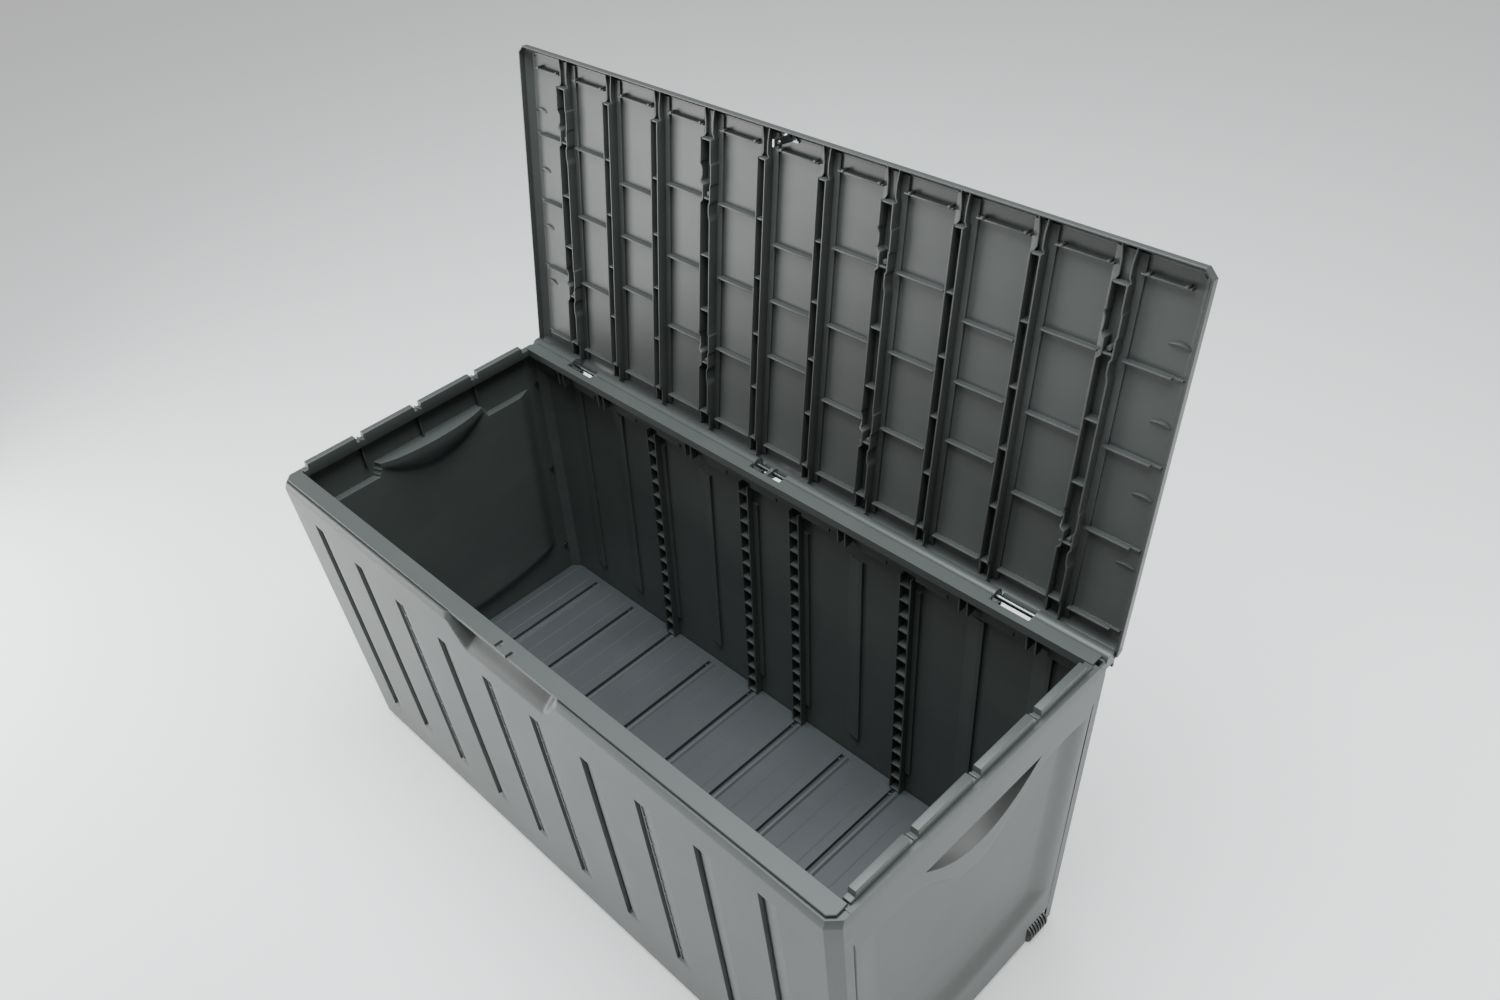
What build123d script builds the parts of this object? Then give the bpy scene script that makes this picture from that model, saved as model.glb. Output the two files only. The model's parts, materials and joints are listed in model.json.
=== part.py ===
"""Deck storage box: four moulded walls, a planked floor, a hinged lid, two rollers and two feet.

Millimetres.  The origin is on the ground under the middle of the box, +X is to the right
along the length, +Y to the back, +Z up.  The lid stands open and closes by turning about +X.
"""
import math
import os

from build123d import *

os.makedirs("parts", exist_ok=True)

# ---- driving dimensions -------------------------------------------------------------------
WALL = 3.0  # moulded wall
PITCH = 110.4  # width of one plank, on the walls, the floor and the lid
SEAMS = [(i - 4.5) * PITCH for i in range(10)]  # the ten lines between eleven planks

BASE_Z = 12.0  # lower edge of the walls
FLOOR_Z = 50.0  # top of the planked floor
SHOULDER_Z = 568.0  # the lid's skirt lands here
RIM_Z = 572.0  # flat rim plates
LID_TOP = 591.0  # top of the closed lid

X_BASE, X_TOP = 584.0, 598.0  # half length at the base and under the rim
Y_BASE, Y_TOP = 241.0, 266.0  # half depth at the base and under the rim
BEVEL_Z = 558.0  # the walls lean outwards up to here
CORNER = 15.0  # chamfer of the four upright corners
JOINT_Y = 237.0  # front and back panels wrap the corners to here

PLATE_X = 588.0  # half length of the rim plates
PLATE_IN = 231.0  # inner edge of the rim plates
PLATE_OUT = 258.0  # outer edge of the front rim plate
FLANGE_OUT = 252.5  # outer edge of the back rim plate

HINGE_Y, HINGE_Z = 263.0, 562.0
ROLL_R = 11.5  # rolled back edge of the lid, round the hinge line
PIN_R = 4.0
FIT = 0.05  # radial clearance of a running fit
HINGE_XS = (-452.0, 0.0, 452.0)
HINGE_SLOT = 64.0
LID_OPENING = 98.0

LID_X = 600.0  # half length of the lid
LID_FRONT = 262.0
LID_BACK = 252.0  # the flat top ends here and rounds down to the hinge roll
BACK_ROUND = 22.0
SKIRT = 2.8
SKIRT_Z = SHOULDER_Z + 0.3
UNDER_Z = LID_TOP - WALL  # underside of the lid's skin
CORNER_LID = 11.0
RIB = 2.5
WEB = 2.4

RAIL_IN, RAIL_OUT = 578.0, 590.0
TAB_Z = 583.0
NOTCH_Z = 575.0
NOTCHES = (-122.0, -8.0, 111.0)  # the lid's outer cross ribs drop into these
TAB_END = 220.0

HANDLE_Z = 502.0
HANDLE_HALF = 112.0
HANDLE_SAG = 54.0
HANDLE_DEEP = 36.0

WHEEL_R = 22.0
WHEEL_X = 569.0
WHEEL_Y = 188.0
WHEEL_W = 40.0
AXLE_R = 4.0
FOOT_X = -560.0

STAPLE_X, STAPLE_Y = -16.5, -249.0
SCREW_R = 1.9

HINGE_LINE = Axis((0, HINGE_Y, HINGE_Z), (1, 0, 0))


def keep(piece, name):
    """Label a finished piece and write its STEP file."""
    piece.part.label = name
    export_step(piece.part, f"parts/{name}.step")


def blocks(*corners, mode=Mode.ADD):
    """Upright blocks, each given as x0, x1, y0, y1, z0, z1, added or cut in one step."""
    pieces = []
    for x0, x1, y0, y1, z0, z1 in corners:
        with Locations(((x0 + x1) / 2, (y0 + y1) / 2, (z0 + z1) / 2)):
            pieces.append(Box(x1 - x0, y1 - y0, z1 - z0, mode=Mode.PRIVATE))
    add(pieces, mode=mode)


def x_face(z):
    """Half length of the box at a height, on the outside of an end wall."""
    return X_BASE + (X_TOP - X_BASE) * (z - BASE_Z) / (BEVEL_Z - BASE_Z)


def y_face(z):
    """Half depth of the box at a height, on the outside of the front or back wall."""
    return Y_BASE + (Y_TOP - Y_BASE) * (z - BASE_Z) / (BEVEL_Z - BASE_Z)


def tapered(inset, mode=Mode.ADD):
    """The leaning body of the box, all round, a given distance inside its outer faces."""
    levels = (
        (BASE_Z, X_BASE, Y_BASE),
        (BEVEL_Z, X_TOP, Y_TOP),
        (SHOULDER_Z, X_TOP - 1, Y_TOP - 4),
    )
    for (z0, xa, ya), (z1, xb, yb) in zip(levels, levels[1:]):
        sections = []
        for z, x, y in ((z0, xa, ya), (z1, xb, yb)):
            with BuildSketch(Plane.XY.offset(z)) as section:
                Rectangle(2 * (x - inset), 2 * (y - inset))
                chamfer(vertices(), CORNER - 0.4 * inset)
            sections.append(section.sketch)
        loft(sections, mode=mode)


LEAN = (Y_TOP - Y_BASE) / (BEVEL_Z - BASE_Z)
LEAN_END = (X_TOP - X_BASE) / (BEVEL_Z - BASE_Z)
FRONT_JOINT = Plane(origin=(0, -JOINT_Y, SHOULDER_Z), x_dir=(1, 0, 0), z_dir=(0, -1, -LEAN))
BACK_JOINT = Plane(origin=(0, JOINT_Y, SHOULDER_Z), x_dir=(1, 0, 0), z_dir=(0, 1, -LEAN))
# inner faces of the front and back walls: x along the box, y up the wall, z into the box
FRONT_INNER = Plane(origin=(0, WALL - Y_BASE, BASE_Z), x_dir=(-1, 0, 0), z_dir=(0, 1, LEAN))
BACK_INNER = Plane(origin=(0, Y_BASE - WALL, BASE_Z), x_dir=(1, 0, 0), z_dir=(0, -1, LEAN))
# looking up a wall from its lower edge: x along the box, y from the outer face into the box
FRONT_SECTION = Plane(origin=(0, -Y_BASE, BASE_Z), x_dir=(1, 0, 0), z_dir=(0, -LEAN, 1))
BACK_SECTION = Plane(origin=(0, Y_BASE, BASE_Z), x_dir=(-1, 0, 0), z_dir=(0, LEAN, 1))
# outer face of the right end wall: x towards the back, y up the wall, z outwards
END_OUTER = Plane(origin=(X_BASE, 0, BASE_Z), x_dir=(0, 1, 0), z_dir=(1, 0, -LEAN_END))

with BuildPart() as shell:
    tapered(0)
    tapered(WALL, mode=Mode.SUBTRACT)


def plank_grooves(section):
    """Ten grooves with one steep side and one soft side, and the ridge behind each."""
    bottom = 88.0
    for outline, grow, mode in (
        (((-3, 2), (-3, 7.5), (4, 7.5), (32, 2)), WALL, Mode.ADD),
        (((0, -1), (0, 4.5), (25, 0), (25, -1)), 0.0, Mode.SUBTRACT),
    ):
        wedges = []
        for i, seam in enumerate(SEAMS):
            top = 468.0 + 37.0 * ((i - 4.5) / 4.5) ** 2
            with BuildSketch(section.offset(bottom - grow)) as wedge:
                with Locations((seam - 18, 0)):
                    Polygon(*outline, align=None)
            wedges.append(extrude(wedge.sketch, amount=top - bottom + 2 * grow, mode=Mode.PRIVATE))
        add(wedges, mode=mode)


def ladder_columns(inner, foot, head):
    """Four stiffening columns inside a wall: two ribs each, closed by short rungs."""
    gap, deep, step = 20.0, 15.0, 30.0
    columns = [k * PITCH for k in (-2.5, -0.5, 0.5, 2.5)]
    rungs = [foot + RIB / 2 + i * step for i in range(int((head - foot) / step) + 1)]
    with BuildSketch(inner) as ladder:
        with Locations(*[(x + end * gap / 2, (foot + head) / 2) for x in columns for end in (-1, 1)]):
            Rectangle(RIB, head - foot)
        with Locations(*[(x, y) for x in columns for y in rungs]):
            Rectangle(gap, RIB)
    extrude(ladder.sketch, amount=deep)


FLOOR_SCREW_XS = (-480.0, -160.0, 160.0, 480.0)
FLOOR_SCREW_Y = 232.0


def floor_ledge(side):
    """The strip inside a long wall that the floor is screwed down to."""
    outer = side * (y_face(FLOOR_Z - 6) - WALL + 0.2)
    inner = side * (y_face(FLOOR_Z) - WALL - 12)
    blocks((-575, 575, min(outer, inner), max(outer, inner), FLOOR_Z - 9, FLOOR_Z - WALL))
    with Locations(*[(x, side * FLOOR_SCREW_Y, FLOOR_Z - 6) for x in FLOOR_SCREW_XS]):
        Cylinder(SCREW_R + 0.1, 8, mode=Mode.SUBTRACT)


CORNER_SCREW_ZS = (110.0, 300.0, 490.0)


def joint_y(z):
    """Distance from the middle to the joint between a long wall and an end wall."""
    return JOINT_Y - LEAN * (SHOULDER_Z - z)


def corner_screw_holes(side):
    """Holes along X for the screws that join the corners of a front or back panel."""
    drills = []
    for z in CORNER_SCREW_ZS:
        with BuildSketch(Plane.YZ) as hole:
            with Locations((side * (joint_y(z) + 5), z)):
                Circle(SCREW_R + 0.1)
        drills.append(extrude(hole.sketch, amount=x_face(z) - 1, both=True, mode=Mode.PRIVATE))
    add(drills, mode=Mode.SUBTRACT)


# ---- front panel --------------------------------------------------------------------------
SCOOP_TOP, SCOOP_LOW = 130.0, 88.0  # half widths of the finger scoop
SCOOP_Z = 525.0
SCOOP_BACK = -239.0

with BuildPart() as front_panel:
    add(shell.part)
    split(bisect_by=FRONT_JOINT, keep=Keep.TOP)
    ladder_columns(FRONT_INNER, 40, 490)
    plank_grooves(FRONT_SECTION)
    # rim plate, its step, the shoulder and the turned-down inner lip
    blocks(
        (-PLATE_X, PLATE_X, -PLATE_OUT, -PLATE_IN, RIM_Z - WALL, RIM_Z),
        (-PLATE_X, PLATE_X, -PLATE_OUT, WALL - PLATE_OUT, SHOULDER_Z - WALL, RIM_Z),
        (-PLATE_X, PLATE_X, -261, WALL - PLATE_OUT, SHOULDER_Z - WALL, SHOULDER_Z),
        (-PLATE_X, PLATE_X, -PLATE_IN - RIB, -PLATE_IN, RIM_Z - 14, RIM_Z),
    )
    # finger scoop: a pocket with its own back, under the rim plate
    for grow, depth, mode in ((WALL, SCOOP_BACK + WALL, Mode.ADD), (0, SCOOP_BACK, Mode.SUBTRACT)):
        with BuildSketch(Plane.XZ.offset(-depth)):
            with BuildLine():
                Polyline(
                    (-SCOOP_LOW - grow, SCOOP_Z - grow),
                    (SCOOP_LOW + grow, SCOOP_Z - grow),
                    (SCOOP_TOP + grow, RIM_Z - WALL),
                    (-SCOOP_TOP - grow, RIM_Z - WALL),
                    close=True,
                )
            make_face()
        far = PLATE_OUT + SCOOP_BACK + 2 if mode == Mode.ADD else 40
        extrude(amount=far, mode=mode)
    # staple hole and the shackle slot beside it, through the rim plate
    blocks(
        (STAPLE_X - 5, STAPLE_X + 5, -256, -242, RIM_Z - 12, RIM_Z + 1),
        (6, 15, -PLATE_OUT - 1, -247, RIM_Z - 12, RIM_Z + 1),
        mode=Mode.SUBTRACT,
    )
    floor_ledge(-1)
    corner_screw_holes(-1)
keep(front_panel, "front_panel")

# ---- back panel ---------------------------------------------------------------------------
TROUGH_IN, TROUGH_OUT = 246.5, 249.5  # upright wall in front of the hinge roll
STOP_Z = 549.2  # ledge behind it, where the open lid comes to rest
STOP_Y = 276.0
EAR_W = 6.0
EARS = (-22.0, 0.0, 22.0)
APRON_Z = 532.0
PLANKS = [k * PITCH for k in range(-5, 6)]

with BuildPart() as back_panel:
    add(shell.part)
    split(bisect_by=BACK_JOINT, keep=Keep.TOP)
    blocks((-610, 610, TROUGH_OUT, 300, STOP_Z - WALL, 600), mode=Mode.SUBTRACT)
    ladder_columns(BACK_INNER, 40, 508)
    plank_grooves(BACK_SECTION)
    blocks(
        (-PLATE_X, PLATE_X, PLATE_IN, FLANGE_OUT, RIM_Z - WALL, RIM_Z),
        (-PLATE_X, PLATE_X, PLATE_IN, PLATE_IN + RIB, RIM_Z - 14, RIM_Z),
        (-594, 594, TROUGH_IN, TROUGH_OUT, APRON_Z, RIM_Z - WALL),
        (-594, 594, TROUGH_IN, STOP_Y, STOP_Z - WALL, STOP_Z),
        (-594, 594, STOP_Y - WALL, STOP_Y, STOP_Z - 12, STOP_Z),
        # the apron under the flange hangs lower in the middle of each plank
        *[(x - 37, x + 19, TROUGH_IN, TROUGH_OUT, APRON_Z - 8, APRON_Z) for x in PLANKS],
        # small hangers in front of it
        *[
            (x - 1.2, x + 1.2, PLATE_IN + RIB, TROUGH_IN + 1, APRON_Z - 4, RIM_Z - WALL)
            for x in [k * PITCH + dx for k in (-4.5, -3.5, -1.5, 1.5, 3.5, 4.5) for dx in (-7, 7)]
        ],
    )
    # hinges: a comb-shaped slot in the flange and three ears that hold the pin
    half = HINGE_SLOT / 2
    blocks(
        *[(x - half, x + half, 243, STOP_Y + 1, STOP_Z + 6, RIM_Z + 1) for x in HINGE_XS],
        *[(x - half, x + half, 256, STOP_Y + 1, STOP_Z - WALL, STOP_Z + 1) for x in HINGE_XS],
        *[(x - half, x + half, 270, STOP_Y + 1, STOP_Z - 13, STOP_Z) for x in HINGE_XS],
        mode=Mode.SUBTRACT,
    )
    with BuildSketch(Plane.YZ) as ear_outline:
        with Locations((HINGE_Y, HINGE_Z)):
            Circle(8.5)
        with Locations(((242 + HINGE_Y) / 2, HINGE_Z)):
            Rectangle(HINGE_Y - 242, 14)
        with Locations(((242 + 258) / 2, (STOP_Z + HINGE_Z) / 2 - 1)):
            Rectangle(16, HINGE_Z - STOP_Z + 2)
        with Locations((HINGE_Y, HINGE_Z)):
            Circle(PIN_R + FIT, mode=Mode.SUBTRACT)
    ears = []
    for x in [hinge_x + offset for hinge_x in HINGE_XS for offset in EARS]:
        with Locations((x, 0, 0)):
            ears.append(extrude(ear_outline.sketch, amount=EAR_W / 2, both=True, mode=Mode.PRIVATE))
    add(ears)
    floor_ledge(1)
    corner_screw_holes(1)
keep(back_panel, "back_panel")


# ---- end panels ---------------------------------------------------------------------------
def half_moon(half, sag, top):
    """Outline of the carrying handle: a straight top and an arc below it."""
    with BuildSketch() as outline:
        with BuildLine():
            Line((-half, top), (half, top))
            ThreePointArc((half, top), (0, top - sag), (-half, top))
        make_face()
    return outline.sketch


def end_recess(inset):
    """Outline of the sunk field of an end wall; its top edge dips round the handle."""
    top, foot = RECESS_TOP - inset, RECESS_FOOT + inset
    high, low = RECESS_HALF - inset, RECESS_HALF - 14 - inset
    with BuildSketch() as outline:
        with BuildLine():
            Polyline((-150, top), (-high, top), (-low, foot + 26))
            ThreePointArc((-low, foot + 26), (0, foot), (low, foot + 26))
            Polyline((low, foot + 26), (high, top), (150, top))
            ThreePointArc((150, top), (0, RECESS_DIP - inset), (-150, top))
        make_face()
    return outline.sketch


RECESS_TOP, RECESS_DIP, RECESS_FOOT = 476.0, 392.0, 58.0
RECESS_HALF = 224.0
RECESS_DEEP = 12.0
RECESS_SLOPE = 24.0
HANDLE_S = HANDLE_Z - BASE_Z

with BuildPart() as end_wall:
    add(shell.part)
    split(bisect_by=FRONT_JOINT, keep=Keep.BOTTOM)
    split(bisect_by=BACK_JOINT, keep=Keep.BOTTOM)
    split(bisect_by=Plane.YZ, keep=Keep.TOP)
    # the sunk field: a raised pad inside the wall, then the sloping recess from outside
    with BuildSketch(END_OUTER.offset(-RECESS_DEEP - WALL)):
        add(end_recess(RECESS_SLOPE - WALL))
    with BuildSketch(END_OUTER.offset(1 - WALL)):
        add(end_recess(-WALL))
    loft()
    with BuildSketch(END_OUTER.offset(-RECESS_DEEP)):
        add(end_recess(RECESS_SLOPE))
    with BuildSketch(END_OUTER.offset(1)):
        add(end_recess(-2))
    loft(mode=Mode.SUBTRACT)
    # carrying handle: a scooped cup that bulges into the box
    for grow, face, mode in ((WALL, 1 - WALL, Mode.ADD), (0.0, 1, Mode.SUBTRACT)):
        with BuildSketch(END_OUTER.offset(-HANDLE_DEEP - grow)):
            add(half_moon(HANDLE_HALF - 26 + grow, HANDLE_SAG - 20 + 2 * grow, HANDLE_S + grow))
        with BuildSketch(END_OUTER.offset(face)):
            add(half_moon(HANDLE_HALF + grow, HANDLE_SAG + 2 * grow, HANDLE_S + grow))
        loft(mode=mode)
    # shoulder and hollow rail with its row of tabs
    ends = (-TAB_END - 7,) + NOTCHES + (TAB_END + 7,)
    tabs = [(y0 + 7, y1 - 7) for y0, y1 in zip(ends, ends[1:])]
    blocks(
        (RAIL_OUT - WALL, X_TOP - 2, -230.5, 230.5, SHOULDER_Z - WALL, SHOULDER_Z),
        (RAIL_IN, RAIL_OUT, -229, 229, SHOULDER_Z - WALL, RIM_Z),
        *[(RAIL_IN, RAIL_OUT, y0, y1, RIM_Z, TAB_Z) for y0, y1 in tabs],
        *[(RAIL_IN, RAIL_OUT, y - 7, y + 7, RIM_Z, NOTCH_Z) for y in NOTCHES],
        *[(RAIL_OUT - 1, 596.5, y - RIB / 2, y + RIB / 2, 508, RIM_Z - 5) for y in NOTCHES],
    )
    blocks(
        *[
            (RAIL_IN + RIB, RAIL_OUT - RIB, y0 + RIB, y1 - RIB, SHOULDER_Z - 8, TAB_Z - RIB)
            for y0, y1 in tabs
        ],
        mode=Mode.SUBTRACT,
    )
    # tongues behind the corner joints
    for side in (-1, 1):
        for z in CORNER_SCREW_ZS:
            y = joint_y(z)
            x = x_face(z) - WALL
            for outer, end in ((x - 0.3, y + 10), (x + 0.5, y - 1)):
                near, far = sorted((side * (y - 8), side * end))
                blocks((x - WALL, outer, near, far, z - 12, z + 12))
    corner_screw_holes(-1)
    corner_screw_holes(1)

with BuildPart() as left_side_panel:
    mirror(end_wall.part, about=Plane.YZ)
keep(left_side_panel, "left_side_panel")

CUT_HALF = WHEEL_W / 2 + 7
with BuildPart() as right_side_panel:
    add(end_wall.part)
    blocks(
        *[(560, 610, y - CUT_HALF, y + CUT_HALF, 0, FLOOR_Z - 1.5) for y in (-WHEEL_Y, WHEEL_Y)],
        mode=Mode.SUBTRACT,
    )
keep(right_side_panel, "right_side_panel")

# ---- floor --------------------------------------------------------------------------------
FLOOR_X = X_BASE - WALL - 0.5
FLOOR_Y = Y_BASE - WALL + 0.5
PLATE_BOTTOM = FLOOR_Z - WALL

with BuildPart() as floor_panel:
    with BuildSketch(Plane.XY.offset(PLATE_BOTTOM)):
        Rectangle(2 * FLOOR_X, 2 * FLOOR_Y)
        chamfer(vertices(), CORNER + 1)
    extrude(amount=WALL)
    blocks(
        *[(x + 1.2, x + 4.4, -222, 222, FLOOR_Z, FLOOR_Z + 1.8) for x in SEAMS],
        *[(x - RIB / 2, x + RIB / 2, -218, 218, BASE_Z + 4, PLATE_BOTTOM) for x in SEAMS],
        *[(-530, 530, y - RIB / 2, y + RIB / 2, BASE_Z + 4, PLATE_BOTTOM) for y in (-217, 0, 217)],
    )
    blocks(
        *[(x - 1.2, x + 1.2, -222, 222, FLOOR_Z - 1.6, FLOOR_Z + 1) for x in SEAMS],
        mode=Mode.SUBTRACT,
    )
    # hollow centre foot, which carries the middle of the long floor
    blocks((-30, 30, -30, 30, 0, PLATE_BOTTOM + 1))
    blocks(
        *[
            (x0, x1, y0, y1, WALL, PLATE_BOTTOM)
            for x0, x1 in ((-27, -RIB / 2), (RIB / 2, 27))
            for y0, y1 in ((-27, -RIB / 2), (RIB / 2, 27))
        ],
        mode=Mode.SUBTRACT,
    )
    with Locations(*[(x, y, PLATE_BOTTOM) for x in FLOOR_SCREW_XS for y in (-FLOOR_SCREW_Y, FLOOR_SCREW_Y)]):
        Cylinder(SCREW_R + 0.1, 5, mode=Mode.SUBTRACT)
    BRACKET_SCREWS = [
        (WHEEL_X + dx, side * (WHEEL_Y - WHEEL_W / 2 - 11)) for dx in (-11, 3) for side in (-1, 1)
    ]
    with Locations(*[(x, y, PLATE_BOTTOM) for x, y in BRACKET_SCREWS]):
        Cylinder(SCREW_R + 0.1, 5, mode=Mode.SUBTRACT)
    for side in (-1, 1):
        with Locations((FOOT_X, side * WHEEL_Y, PLATE_BOTTOM)):
            Cylinder(5.1, 5, mode=Mode.SUBTRACT)
keep(floor_panel, "floor_panel")

# ---- rollers, axles, brackets and feet ----------------------------------------------------
for place, side in (("front", -1), ("back", 1)):
    y_mid = side * WHEEL_Y
    with BuildPart() as roller:
        with BuildSketch(Plane.YZ.offset(WHEEL_X)):
            with Locations((y_mid, WHEEL_R + (WHEEL_R + AXLE_R + FIT) / 2)):
                Rectangle(WHEEL_W, WHEEL_R - AXLE_R - FIT)
            with Locations(*[(y_mid + (i - 2.5) * 6.2, 2 * WHEEL_R) for i in range(6)]):
                Rectangle(2.6, 5, mode=Mode.SUBTRACT)
        revolve(axis=Axis((WHEEL_X, 0, WHEEL_R), (0, 1, 0)))
    keep(roller, f"{place}_roller")

    with BuildPart() as axle:
        with BuildSketch(Plane.XZ.offset(-y_mid - 26)):
            with Locations((WHEEL_X, WHEEL_R)):
                Circle(AXLE_R)
        extrude(amount=52)
        for end in (-1, 1):
            with BuildSketch(Plane.XZ.offset(-y_mid - end * 26 - (1.5 if end > 0 else -1.5) - 1.5)):
                with Locations((WHEEL_X, WHEEL_R)):
                    Circle(6)
            extrude(amount=3)
    keep(axle, f"{place}_axle")

    cheek = WHEEL_W / 2 + 1.0
    with BuildPart() as bracket:
        inner_end = y_mid - side * (cheek + 15)
        outer_end = y_mid + side * (cheek + 3)
        blocks((553, 579.5, min(inner_end, outer_end), max(inner_end, outer_end), 44.5, PLATE_BOTTOM))
        for end in (-1, 1):
            y = y_mid + end * (cheek + 1.5)
            with BuildSketch(Plane.XZ.offset(-y - 1.5)):
                with Locations((WHEEL_X, WHEEL_R)):
                    Circle(10)
                with Locations((WHEEL_X - 2, 34)):
                    Rectangle(24, 26)
            extrude(amount=3)
        with BuildSketch(Plane.XZ.offset(-y_mid - 30)):
            with Locations((WHEEL_X, WHEEL_R)):
                Circle(AXLE_R + 0.02)
        extrude(amount=60, mode=Mode.SUBTRACT)
        with Locations(*[(x, y, 45) for x, y in BRACKET_SCREWS if y * side > 0]):
            Cylinder(SCREW_R + 0.1, 8, mode=Mode.SUBTRACT)
    keep(bracket, f"{place}_roller_bracket")

    with BuildPart() as foot:
        with BuildSketch(Plane.XY):
            with Locations((FOOT_X, y_mid)):
                Circle(20)
        extrude(amount=PLATE_BOTTOM, taper=6)
        fillet(foot.edges().group_by(Axis.Z)[0], 2)
        with Locations((FOOT_X, y_mid, PLATE_BOTTOM + 1)):
            Cylinder(5, 2.4)
    keep(foot, f"left_{place}_foot")


# ---- lid: modelled closed, then turned open -----------------------------------------------
def lid_outline(inset):
    """Plan of the lid: square at the hinge, chamfered at the two free corners."""
    half = LID_X - inset
    front = LID_FRONT - inset
    cut = CORNER_LID - 0.4 * inset
    with BuildSketch() as outline:
        with BuildLine():
            Polyline(
                (-half, HINGE_Y + 3),
                (-half, cut - front),
                (cut - half, -front),
                (half - cut, -front),
                (half, cut - front),
                (half, HINGE_Y + 3),
                close=True,
            )
        make_face()
    return outline.sketch


WEB_STEP_Y = -215.0  # forward of here the webs are shallow, to clear the front rim plate
HINGE_STEP_Y = 229.0  # behind here they are shallow again, to clear the back rim plate
WIDE = (0, 3, 6, 9)  # the channels with snap sockets
CELL = 88.8  # spacing of the rungs inside a channel
TOP_RIBS = (388.0, 274.0, 155.0)
ODD_RIBS = (359.0, 273.0, 184.0)

with BuildPart() as closed_lid:
    with BuildSketch(Plane.XY.offset(SKIRT_Z)):
        add(lid_outline(0))
    extrude(amount=LID_TOP - SKIRT_Z)
    with BuildSketch(Plane.XY.offset(SKIRT_Z - 1)):
        add(lid_outline(SKIRT))
        with Locations((0, HINGE_Y + 2)):
            Rectangle(2 * (LID_X - SKIRT), 10)
    extrude(amount=UNDER_Z - SKIRT_Z + 1, mode=Mode.SUBTRACT)
    # the back edge: trim the flat top and add the rounded shell and the roll
    blocks((-610, 610, LID_BACK, 300, 500, 600), mode=Mode.SUBTRACT)
    with BuildSketch(Plane.YZ.offset(-LID_X)):
        with BuildLine():
            Line((LID_BACK, LID_TOP), (LID_BACK, UNDER_Z))
            ThreePointArc(
                (LID_BACK, UNDER_Z),
                (
                    LID_BACK + (BACK_ROUND - WALL) * math.sin(math.pi / 4),
                    LID_TOP - BACK_ROUND + (BACK_ROUND - WALL) * math.cos(math.pi / 4),
                ),
                (LID_BACK + BACK_ROUND - WALL, LID_TOP - BACK_ROUND),
            )
            Line(
                (LID_BACK + BACK_ROUND - WALL, LID_TOP - BACK_ROUND),
                (LID_BACK + BACK_ROUND, LID_TOP - BACK_ROUND),
            )
            ThreePointArc(
                (LID_BACK + BACK_ROUND, LID_TOP - BACK_ROUND),
                (
                    LID_BACK + BACK_ROUND * math.sin(math.pi / 4),
                    LID_TOP - BACK_ROUND + BACK_ROUND * math.cos(math.pi / 4),
                ),
                (LID_BACK, LID_TOP),
            )
        make_face()
    extrude(amount=2 * LID_X)
    for left in (-LID_X, LID_X - SKIRT):
        with BuildSketch(Plane.YZ.offset(left)):
            with BuildLine():
                Polyline((LID_BACK - 1, LID_TOP - 1), (LID_BACK - 1, SKIRT_Z), (HINGE_Y, SKIRT_Z))
                Line((HINGE_Y, SKIRT_Z), (LID_BACK + BACK_ROUND - 1, LID_TOP - BACK_ROUND))
                Line((LID_BACK + BACK_ROUND - 1, LID_TOP - BACK_ROUND), (LID_BACK - 1, LID_TOP - 1))
            make_face()
        extrude(amount=SKIRT)
    with BuildSketch(Plane.YZ.offset(-LID_X + 4)):
        with Locations((HINGE_Y, HINGE_Z)):
            Circle(ROLL_R)
    extrude(amount=2 * LID_X - 8)
    # planked top: a shallow groove outside and a low ridge inside each seam, with two webs,
    # the rungs between them and a solid knuckle where they meet the roll
    parts = []
    for i, seam in enumerate(SEAMS):
        half = 11.0 if i in WIDE else 7.5
        parts.append((seam - half - 8, seam + half + 8, -255, LID_BACK + 4, UNDER_Z - 3, UNDER_Z))
        for x in (seam - half, seam + half - WEB):
            parts.append((x, x + WEB, WEB_STEP_Y, HINGE_STEP_Y, SKIRT_Z, UNDER_Z - 2))
            parts.append((x, x + WEB, -LID_FRONT + 1, WEB_STEP_Y, RIM_Z + 3, UNDER_Z - 2))
            parts.append((x, x + WEB, HINGE_STEP_Y, HINGE_Y - 6, RIM_Z + 1.5, UNDER_Z - 2))
        for y in [HINGE_Y - 35.8 - CELL * k for k in range(1, 5)] + [WEB_STEP_Y + 1.2]:
            parts.append((seam - half, seam + half, y - 1.2, y + 1.2, SKIRT_Z + 2, UNDER_Z - 2))
        parts.append((seam - half, seam + half, HINGE_Y - 9, HINGE_Y + 6, HINGE_Z, UNDER_Z - 4))
    # cross ribs of the eleven bays, the locating ledge in front and a rib over the flange
    edges_x = [-LID_X + SKIRT] + SEAMS + [LID_X - SKIRT]
    for i, (x0, x1) in enumerate(zip(edges_x, edges_x[1:])):
        a = x0 if i == 0 else x0 + 8
        b = x1 if i == 10 else x1 - 8
        for distance in ODD_RIBS if i in (2, 5, 8) else TOP_RIBS:
            y = HINGE_Y + 3 - distance
            parts.append((a, b, y - 1, y + 1, UNDER_Z - 7, UNDER_Z))
        parts.append((max(a, -575), min(b, 575), -229.5, -227.5, RIM_Z - 2, UNDER_Z))
        parts.append((a, b, 236, 238, UNDER_Z - 7, UNDER_Z))
    blocks(*parts)
    blocks(
        *[(x - 6, x + 6, -LID_FRONT - 1, LID_BACK - 4, LID_TOP - 2.5, LID_TOP + 1) for x in SEAMS],
        mode=Mode.SUBTRACT,
    )
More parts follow.
